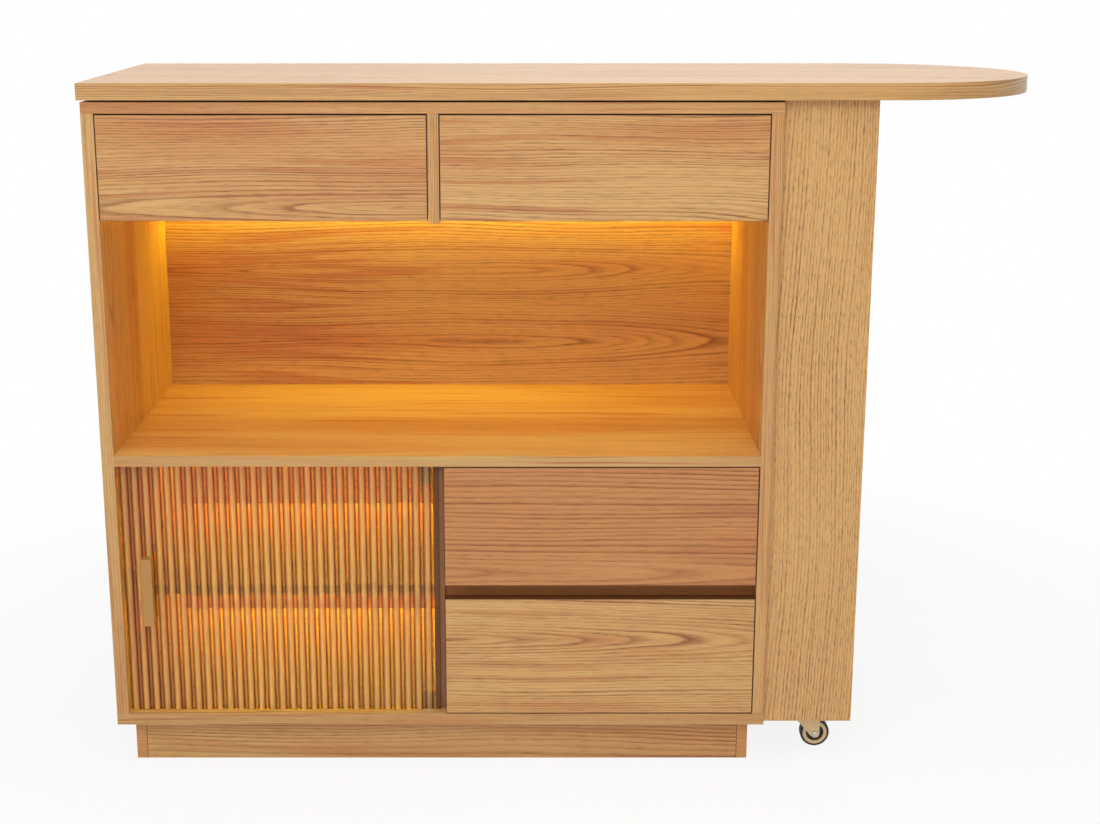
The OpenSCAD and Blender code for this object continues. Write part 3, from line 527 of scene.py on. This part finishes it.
def fluted_glass(glass):
    """Clear glass with ribs that scatter light, a painted highlight along each rib, painted shade on its
    sides and painted shadow lines beside it.
    """
    shade = Shade("fluted_glass")
    x, y, z = shade.place()
    low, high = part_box("door_glass")
    # Place across a rib, in shares of the ribs' pitch from its middle
    place = ((x - low.x) / ((high.x - low.x) / RIB_COUNT)).fraction() - 0.5
    across = place.size()
    rib = (1 - across.above(0.29, 0.32)) * (1 - (y - low.y).above(RIB_HEIGHT - 0.0001, RIB_HEIGHT + 0.0004))
    haze = shade.noise(x * 60, y * 60, z * 4, detail=2.0)
    # Painted shade on the sides of each rib
    flank_shade = across.above(0.19, 0.27) + haze * 0.15
    # Painted highlight along the middle of each rib
    crest_highlight = (1 - (place + 0.03).size().above(0.03, 0.16)) * 0.95
    # Painted shadow lines in the flat glass beside each rib
    beside = across.above(0.26, 0.3) * (1 - across.above(0.35, 0.41)) * 0.85

    # Light from the front, and the same colours for the light from behind, painted highlight and painted
    # shade included
    milk = shade.mix(crest_highlight, shade.mix(flank_shade, glass.milk, glass.edge), glass.crest_highlight)
    shade.finish(Base_Color=milk, Roughness=0.18 + haze * 0.1)
    milky, flank_shade_through, highlight_through = (shade.add("ShaderNodeBsdfTranslucent", None, {"Color": colour})
                             for colour in (glass.milk, glass.edge, glass.crest_highlight))
    through = shade.join(crest_highlight, shade.join(flank_shade, milky, flank_shade_through), highlight_through)
    scatter = shade.join(0.72, shade.lit(), through)

    clear, dark = (shade.add("ShaderNodeBsdfTransparent", None, {"Color": colour})
                   for colour in (glass.clear, glass.shadow))
    shine = shade.add("ShaderNodeBsdfGlossy", None, {"Roughness": 0.05})
    mirror = shade.add("ShaderNodeFresnel", None, {"IOR": 1.45})
    flat = shade.join(mirror, shade.join(beside, clear, dark), shine)
    shade.show("Material Output", shade.join(rib * glass.milkiness, flat, scatter))
    return shade.material


def warm_diffuser(lights):
    """Frosted strips, whose glow behind the glass differs from that in the niche above."""
    shade = Shade("diffuser")
    x, y, z = shade.place()
    fine = shade.noise(x * 60, y * 300, z * 300)
    colour = shade.mix(fine, shown(255, 236, 200), shown(255, 226, 180))
    niche_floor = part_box("middle_shelf")[1].z
    glow = shade.mix(z.above(niche_floor - 0.001, niche_floor + 0.001), lights.low_glow, lights.glow)
    return shade.finish(Base_Color=colour, Roughness=0.4 + 0.1 * fine, Emission_Color=glow,
                        Emission_Strength=lights.strength, Normal=shade.bump(fine, 0.00005, 0.3))


def rimmed_wheel(end, hardware):
    """A cream rim round a black web."""
    shade = Shade(end + "_wheel")
    x, y, z = shade.place()
    low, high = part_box(end + "_castor_wheel")
    out = x - (low.x + high.x) / 2
    up = z - (low.z + high.z) / 2
    web = (high.z - low.z) / 2 - WHEEL_RIM
    rim = (out * out + up * up).root().above(web - 0.0002, web + 0.0002)
    fine = shade.noise(x * 900, y * 900, z * 900)
    cream = shade.mix(fine * 0.2, hardware.cream, hardware.rubber)
    colour = shade.mix(rim, hardware.rubber, cream)
    return shade.finish(Base_Color=colour, Roughness=0.35 + 0.1 * fine, Normal=shade.bump(fine, 0.00005))


def paint(node, material, look, soft=True, radius=None):
    """Gives a CAD node its material and, where it has sharp edges, rounds them."""
    piece = NODES[node]
    for place in piece.material_slots:
        place.material = material
    if soft:
        soften(piece, radius or look.wood.edge, look.segments)


def soften(piece, radius, segments):
    """Rounds the piece's edges a little, as sanded or pressed edges are."""
    weld = piece.modifiers.new("weld", "WELD")
    weld.merge_threshold = 0.00002
    bevel = piece.modifiers.new("round", "BEVEL")
    bevel.width = radius
    bevel.segments = segments
    bevel.limit_method = "ANGLE"
    bevel.angle_limit = math.radians(35)
    bevel.miter_outer = "MITER_ARC"
    normals = piece.modifiers.new("normals", "WEIGHTED_NORMAL")
    normals.keep_sharp = True


def lay_board(node, look, grain, overlay=None, soft=True):
    """Oak for one board, cut as its grain says."""
    paint(node, oak("oak_" + node, look.wood, grain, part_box(node), overlay), look, soft)


def new_piece(name, mesh, material, body):
    """Turns a bmesh into a piece that rides on a body."""
    bmesh.ops.recalc_face_normals(mesh, faces=mesh.faces)
    piece = add_mesh(name, mesh, material)
    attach(piece, body)
    return piece


def add_mesh(name, mesh, material):
    """Puts a bmesh into the scene as an object with one material."""
    data = bpy.data.meshes.new(name)
    mesh.to_mesh(data)
    mesh.free()
    data.materials.append(material)
    return add_object(name, data)


def add_object(name, data):
    """Puts a mesh, a camera or a lamp into the scene."""
    added = bpy.data.objects.new(name, data)
    bpy.context.scene.collection.objects.link(added)
    return added


def lathe(mesh, profile, place, steps=32):
    """Adds a turned solid: profile lists (radius, height), and place puts its axis, Z, in the frame."""
    rings = []
    for radius, height in profile:
        turn = [2 * math.pi * i / steps for i in range(steps if radius > 0 else 1)]
        rings.append([mesh.verts.new(place @ Vector((radius * math.cos(a), radius * math.sin(a), height)))
                      for a in turn])
    for low, high in zip(rings, rings[1:]):
        join_rings(mesh, low, high, steps)
    for ring in (rings[0], rings[-1]):
        if len(ring) > 1:
            mesh.faces.new(ring)


def join_rings(mesh, low, high, steps):
    """Faces between two rings of a turned solid, either of which may be one point."""
    for i in range(steps):
        j = (i + 1) % steps
        corners = [low[i % len(low)], low[j % len(low)], high[j % len(high)], high[i % len(high)]]
        face = mesh.faces.new(list(dict.fromkeys(corners)))
        face.smooth = True


def facing(direction, point):
    """The matrix that turns Z to a direction and moves the origin to a point."""
    turn = Vector(direction).to_track_quat("Z", "Y").to_matrix().to_4x4()
    return Matrix.Translation(point) @ turn


def screw_head(mesh, radius, point, direction):
    """Adds a countersunk screw, its head just proud of the face that it holds."""
    profile = [(share * radius, height) for share, height in SCREW_HEAD]
    lathe(mesh, profile, facing(direction, point), steps=20)


class CabinetOperator:
    """What the operators share."""

    bl_options = {"REGISTER", "UNDO"}


class BARCAB_OT_carcass(CabinetOperator, bpy.types.Operator):
    """Gives the cabinet's boards their oak"""

    bl_idname = "barcab.carcass"
    bl_label = "Carcass"

    def execute(self, context):
        look = context.scene.bar_cabinet
        self.uprights(look)
        self.shelves(look)
        self.back_and_plinth(look)
        # The strip beside the door takes painted shade as its colour; the finger rail takes its own oak
        # colour
        for node, colour in (("finger_rail", look.wood.rail), ("door_stop_strip", look.wood.strip)):
            paint(node, fibre_oak(node, colour), look)
        return {"FINISHED"}

    def uprights(self, look):
        """Side panels and dividers, with the grain upright."""
        side = Grain("ZYX", heart=-0.19, depth=0.05, taper=0.015, rose=0.42)
        for node in ("side_panel_left", "side_panel_right", "upper_divider"):
            lay_board(node, look, side)
        # The lower divider's front face takes painted shade, for the shade in its recess
        lay_board("lower_divider", look, side, face_tone_shade_and_light("lower_divider", "Y", -1, look.wood.divider))

    def shelves(self, look):
        """The level boards, of which the niche's floor has the plainest figure."""
        flat = Grain("XYZ", heart=-0.26, depth=0.04, taper=0.02, rose=0.55, tone=(1.02, 1.02, 1.02))
        floor = Grain("XYZ", heart=-0.26, depth=0.04, taper=0.01, lines=0.4, pores=0.2, streaks=1.0,
                      tone=(0.94, 0.97, 0.92), roughness=0.3)
        bottom = Grain("XYZ", heart=-0.26, depth=0.04, taper=0.02, rose=0.36, tone=(0.93, 0.91, 0.88))
        for node in ("carcass_top", "niche_ceiling"):
            lay_board(node, look, flat)
        lay_board("carcass_bottom", look, bottom)
        # The loose shelf's front edge takes painted light, pale for its lit look behind the glass
        lay_board("inner_shelf", look, flat, face_tone_shade_and_light("inner_shelf", "Y", -1, look.wood.shelf, cover=0.85))
        lay_board("middle_shelf", look, floor)

    def back_and_plinth(self, look):
        """The back panel of two matched leaves, and the plinth, whose rails end in a painted shadow line at
        their seams.
        """
        back = Grain("XZY", heart=0.094, leaf=0.06, depth=0.014, taper=-0.036, wander=0.022, pitch=1.05,
                     lines=0.9, rose=0.4, tone=(1.05, 1.02, 0.75), band=0.0)
        plinth = Grain("XZY", heart=-0.16, depth=0.05, taper=0.012, wander=0.012, lines=0.9, streaks=0.4,
                       rose=0.35, tone=(0.96, 0.95, 0.92), band=0.0)
        lay_board("back_panel", look, back, rear_tone("back_panel", (1.08, 1.04, 1.3)), soft=False)
        lay_board("plinth_ends", look, plinth, face_tone_shade_and_light("plinth_ends", "Y", -1, look.wood.rose, cover=0.7))
        # Painted shadow: a dark line at both ends of the rails, where they meet the plinth ends
        lay_board("plinth_rails", look, plinth,
                  face_tone_shade_and_light("plinth_rails", "X", 0, look.wood.pore, cover=0.8, reach=0.0009))


class BARCAB_OT_drawers(CabinetOperator, bpy.types.Operator):
    """Gives the drawers their oak fronts and birch boxes"""

    bl_idname = "barcab.drawers"
    bl_label = "Drawers"

    def execute(self, context):
        look = context.scene.bar_cabinet
        fronts = {
            "upper_left": Grain("XZY", heart=-0.056, depth=0.022, taper=0.06, wander=0.014, rose=0.45),
            "upper_right": Grain("XZY", heart=-0.12, depth=0.05, taper=-0.03, years=5.5, rose=0.45),
            "lower_top": Grain("XZY", heart=-0.072, depth=0.025, taper=-0.032, wander=0.012, pitch=1.6,
                               years=2.5, lines=1.25, rose=0.68, tone=(0.97, 0.97, 0.96)),
            "lower_bottom": Grain("XZY", heart=0.028, depth=0.024, taper=-0.055, wander=0.012, streaks=0.5,
                                  rose=0.42, tone=(0.98, 0.98, 0.95)),
        }
        for drawer in DRAWERS:
            front = drawer + "_front"
            # The lowest front's top edge takes painted shade, for the shade inside the finger gap
            overlay = face_tone_shade_and_light(front, "Z", 1, look.wood.strip) if drawer == "lower_bottom" else None
            # A painted shade rim round every front, for the shade in the gaps between the fronts
            lay_board(front, look, fronts[drawer], rim_painted_shade(front, look.wood.gap, overlay))
            for node in (drawer + "_box", drawer + "_bottom"):
                paint(node, birch(node, look.wood.birch), look)
        return {"FINISHED"}


class BARCAB_OT_bar_table(CabinetOperator, bpy.types.Operator):
    """Gives the bar top and its leg their oak"""

    bl_idname = "barcab.bar_table"
    bl_label = "Bar table"

    def execute(self, context):
        look = context.scene.bar_cabinet
        top = Grain("XYZ", heart=-0.30, depth=0.03, taper=0.015, lines=1.3, pores=0.6, rose=0.28,
                    tone=(0.99, 0.98, 0.93), roughness=0.25)
        lay_board("bar_top", look, top)
        leg = Grain(heart=-0.13, depth=0.06, taper=0.03, wander=0.02, years=1.8, lines=0.85, dashes=85.0,
                    pores=1.0, streaks=0.2, rose=0.2, tone=(1.03, 1.03, 1.02))
        boards = {
            "ZXY": ("leg_front", "leg_back"),
            "ZYX": ("leg_outer", "leg_inner"),
            "YXZ": ("leg_bottom", "leg_cleat"),
        }
        for axes, nodes in boards.items():
            leg.axes = axes
            for node in nodes:
                lay_board(node, look, leg)
        return {"FINISHED"}


class BARCAB_OT_glass_door(CabinetOperator, bpy.types.Operator):
    """Gives the door its fluted glass, its handle and its pivots"""

    bl_idname = "barcab.glass_door"
    bl_label = "Glass door"

    def execute(self, context):
        look = context.scene.bar_cabinet
        paint("door_glass", fluted_glass(look.glass), look, soft=False)
        brass = plain("matt_brass", look.hardware.handle, metallic=0.35, roughness=0.48,
                      stretch=(1, 1, 0.05))
        paint("door_handle", brass, look, radius=0.0006)
        enamel = plain("pivot_enamel", look.hardware.cream, roughness=0.4)
        paint("door_pivots", enamel, look, radius=0.0002)
        nylon = plain("nylon", shown(232, 228, 214), roughness=0.4)
        paint("pivot_bushes", nylon, look, soft=False)
        return {"FINISHED"}


class BARCAB_OT_lights(CabinetOperator, bpy.types.Operator):
    """Makes the warm strips glow and finishes their channels, driver, cable and socket"""

    bl_idname = "barcab.lights"
    bl_label = "Lights"

    def execute(self, context):
        look = context.scene.bar_cabinet
        paint("light_diffusers", warm_diffuser(look.lights), look, soft=False)
        channel = plain("channel", look.hardware.aluminium, metallic=1.0, roughness=0.35,
                        stretch=(0.03, 1, 1))
        paint("light_channels", channel, look, radius=0.0003)
        case = plain("driver_case", shown(228, 228, 224))
        paint("light_driver", case, look, radius=0.0015)
        black = plain("black_plastic", shown(30, 30, 30))
        paint("light_cable", black, look, radius=0.0012)
        paint("supply_socket", black, look, radius=0.0004)
        return {"FINISHED"}


class BARCAB_OT_runners(CabinetOperator, bpy.types.Operator):
    """Finishes the drawer runners and rails and adds their screws"""

    bl_idname = "barcab.runners"
    bl_label = "Runners"

    def execute(self, context):
        look = context.scene.bar_cabinet
        coated = plain("coated_steel", look.hardware.runner, metallic=0.3, roughness=0.4,
                       stretch=(1, 0.05, 1))
        paint("cabinet_rails", coated, look, radius=0.0003)
        for drawer in DRAWERS:
            paint(drawer + "_runners", coated, look, radius=0.0003)
        self.rail_screws(look.hardware)
        return {"FINISHED"}

    def rail_screws(self, hardware):
        """Three screws in each cabinet rail, on both sides of each drawer."""
        steel = plain("zinc_steel", hardware.steel, metallic=1.0, roughness=0.32)
        rails_low, rails_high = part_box("cabinet_rails")
        depths = (rails_low.y + RAIL_SCREW_INSET, (rails_low.y + rails_high.y) / 2,
                  rails_high.y - RAIL_SCREW_INSET)
        mesh = bmesh.new()
        for drawer in DRAWERS:
            box_low, box_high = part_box(drawer + "_box")
            left = box_low.x - RUNNER_ROOM + RAIL_SHEET
            right = box_high.x + RUNNER_ROOM - RAIL_SHEET
            for y in depths:
                for x, inwards in ((left, 1), (right, -1)):
                    point = (x, y, box_low.z + RAIL_SCREW_LEVEL)
                    screw_head(mesh, hardware.screw_radius, point, (inwards, 0, 0))
        new_piece("rail_screws", mesh, steel, "cabinet")


class BARCAB_OT_guides(CabinetOperator, bpy.types.Operator):
    """Finishes the guide tracks, the guide shoes and the shelf pins"""

    bl_idname = "barcab.guides"
    bl_label = "Guides"

    def execute(self, context):
        look = context.scene.bar_cabinet
        track = plain("track", look.hardware.aluminium, metallic=1.0, roughness=0.35, stretch=(0.03, 1, 1))
        paint("guide_tracks", track, look, radius=0.0002)
        nylon = plain("guide_nylon", shown(48, 48, 48), roughness=0.5)
        paint("guide_shoes", nylon, look, radius=0.0003)
        steel = plain("pin_steel", look.hardware.steel, metallic=1.0, roughness=0.3)
        paint("shelf_pins", steel, look, soft=False)
        return {"FINISHED"}


class BARCAB_OT_castors(CabinetOperator, bpy.types.Operator):
    """Finishes the castors and adds their axle bolts and screws"""

    bl_idname = "barcab.castors"
    bl_label = "Castors"

    def execute(self, context):
        look = context.scene.bar_cabinet
        cream = plain("castor_cream", look.hardware.cream, roughness=0.35, spread=0.05)
        steel = plain("castor_steel", look.hardware.steel, metallic=1.0, roughness=0.28)
        rubber = plain("tyre_rubber", look.hardware.rubber, roughness=0.5, grit=2500.0)
        paint("castor_plates", cream, look, radius=0.0004)
        for end in CASTORS:
            paint(end + "_castor_fork", cream, look, radius=0.0004)
            paint(end + "_castor_wheel", rimmed_wheel(end, look.hardware), look, radius=0.0004)
            paint(end + "_castor_tyre", rubber, look, soft=False)
            self.axle_bolt(end + "_castor_axle", steel)
            self.plate_screws(end, look.hardware.screw_radius, steel)
        return {"FINISHED"}

    def axle_bolt(self, node, steel):
        """A shank with a domed head and a hexagonal nut, in place of the plain axle."""
        low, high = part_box(node)
        centre = (low + high) / 2
        head = (high.x - low.x) / 2
        shank = head * 2 / 3
        length = high.y - low.y
        dome = [(share * head, height) for share, height in BOLT_DOME]
        stem = [(head, BOLT_HEAD), (shank, BOLT_HEAD), (shank, length - BOLT_HEAD)]
        nut = [(head, 0.0), (head, BOLT_HEAD - NUT_CHAMFER), (0.86 * head, BOLT_HEAD)]
        mesh = bmesh.new()
        lathe(mesh, dome + stem, facing((0, 1, 0), (centre.x, low.y, centre.z)))
        lathe(mesh, nut, facing((0, 1, 0), (centre.x, high.y - BOLT_HEAD, centre.z)), steps=6)
        piece = new_piece(node + "_bolt", mesh, steel, BODY[node])
        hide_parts(node)

    def plate_screws(self, end, radius, steel):
        """Four screws in the corners of the castor's square plate."""
        low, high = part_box("castor_plates")
        side = high.x - low.x
        near = low.y if end == "front" else high.y - side
        mesh = bmesh.new()
        for x in (low.x + PLATE_SCREW_INSET, high.x - PLATE_SCREW_INSET):
            for y in (near + PLATE_SCREW_INSET, near + side - PLATE_SCREW_INSET):
                screw_head(mesh, radius, (x, y, high.z - PLATE_SHEET), (0, 0, -1))
        new_piece(end + "_castor_screws", mesh, steel, "bar_table")


@dataclass
class Lamp:
    """A square lamp: its size, where it hangs and what it points at, in metres."""

    size: float
    place: tuple
    target: tuple = (0.0, 0.0, 0.5)


LAMPS = {
    "key": Lamp(2.0, (-0.4, -3.6, 3.2)),
    "fill": Lamp(2.4, (-0.9, -4.2, 0.9)),
    "back": Lamp(2.4, (0.6, 3.4, 4.0)),
    "top": Lamp(2.6, (0.0, -0.6, 3.6), (0.0, 0.0, 1.0)),
}


class BARCAB_OT_studio(CabinetOperator, bpy.types.Operator):
    """Sets up the camera, the floor, the world and the lamps"""

    bl_idname = "barcab.studio"
    bl_label = "Studio"

    def execute(self, context):
        studio = context.scene.bar_cabinet.studio
        self.camera(studio)
        self.floor(studio.floor)
        self.world(studio.ambient)
        for name, lamp in LAMPS.items():
            self.hang(name + "_lamp", getattr(studio, name), lamp)
        context.scene.view_settings.view_transform = "Standard"
        return {"FINISHED"}

    def camera(self, studio):
        """The camera that sees the cabinet as the photograph does."""
        data = bpy.data.cameras.new("camera")
        data.lens = studio.lens
        data.sensor_width = 36.0
        data.shift_x = studio.shift
        data.clip_start = 0.05
        data.clip_end = 200.0
        camera = add_object("camera", data)
        camera.location = studio.eye
        camera.rotation_euler = (math.pi / 2 - studio.pitch, 0.0, 0.0)
        bpy.context.scene.camera = camera

    def floor(self, pale):
        """A wide round floor that turns pure white away from the cabinet."""
        mesh = bmesh.new()
        bmesh.ops.create_circle(mesh, cap_ends=True, segments=96, radius=60.0)
        shade = Shade("floor")
        x, y, z = shade.place()
        fine = shade.noise(x * 3, y * 3, 0.0)
        shade.finish(Base_Color=shade.mix(fine, pale, darker(pale, 0.985)), Roughness=0.85)
        white = shade.add("ShaderNodeEmission", None, {"Color": (1.0, 1.0, 1.0), "Strength": 1.0})
        far = (x * x + y * y).root().above(0.9, 1.8)
        whiteness = shade.background_rays() * (0.87 + 0.13 * far)
        shade.show("Material Output", shade.join(whiteness, shade.lit(), white))
        add_mesh("floor", mesh, shade.material)

    def world(self, ambient):
        """A world that lights the cabinet only a little, and shows as pure white."""
        world = bpy.data.worlds.new("studio")
        bpy.context.scene.world = world
        world.use_nodes = True
        nodes = Nodes(world.node_tree)
        soft = nodes.tree.nodes["Background"]
        nodes.feed(soft.inputs["Color"], (1.0, 1.0, 1.0))
        nodes.feed(soft.inputs["Strength"], ambient)
        white = nodes.add("ShaderNodeBackground", None, {"Color": (1.0, 1.0, 1.0), "Strength": 1.0})
        nodes.show("World Output", nodes.join(nodes.background_rays(), Sock(nodes, soft.outputs[0]), white))

    def hang(self, name, power, lamp):
        """Hangs a lamp and turns it to its target."""
        data = bpy.data.lights.new(name, "AREA")
        data.shape = "SQUARE"
        data.size = lamp.size
        data.energy = power
        hung = add_object(name, data)
        hung.location = lamp.place
        away = Vector(lamp.place) - Vector(lamp.target)
        hung.rotation_euler = away.to_track_quat("Z", "Y").to_euler()


class BARCAB_PT_panel(bpy.types.Panel):
    """Lists the steps that dress the cabinet"""

    bl_idname = "BARCAB_PT_panel"
    bl_label = "Bar cabinet"
    bl_space_type = "VIEW_3D"
    bl_region_type = "UI"
    bl_category = "Bar cabinet"

    def draw(self, context):
        for step in STEPS:
            self.layout.operator(step.bl_idname)
        look = context.scene.bar_cabinet
        for group in (look.wood, look.glass, look.lights, look.hardware, look.studio):
            box = self.layout.box()
            for name in group.bl_rna.properties.keys():
                if name not in ("rna_type", "name"):
                    box.prop(group, name)


LOOKS = (WoodLook, GlassLook, LightLook, HardwareLook, StudioLook, CabinetLook)
STEPS = (BARCAB_OT_studio, BARCAB_OT_carcass, BARCAB_OT_drawers, BARCAB_OT_bar_table, BARCAB_OT_glass_door,
         BARCAB_OT_lights, BARCAB_OT_runners, BARCAB_OT_guides, BARCAB_OT_castors)
CLASSES = (*LOOKS, *STEPS, BARCAB_PT_panel)


def register():
    """Registers the classes and gives the scene its settings for the cabinet."""
    for made in CLASSES:
        bpy.utils.register_class(made)
    bpy.types.Scene.bar_cabinet = PointerProperty(name="Bar cabinet", description="Looks of the bar cabinet",
                                                  type=CabinetLook)


def unregister():
    """Takes the settings and the classes away again."""
    del bpy.types.Scene.bar_cabinet
    for made in reversed(CLASSES):
        bpy.utils.unregister_class(made)


def main():
    """Dresses the whole cabinet."""
    register()
    bpy.ops.barcab.studio()
    bpy.ops.barcab.carcass()
    bpy.ops.barcab.drawers()
    bpy.ops.barcab.bar_table()
    bpy.ops.barcab.glass_door()
    bpy.ops.barcab.lights()
    bpy.ops.barcab.runners()
    bpy.ops.barcab.guides()
    bpy.ops.barcab.castors()


if __name__ == "__main__":
    main()
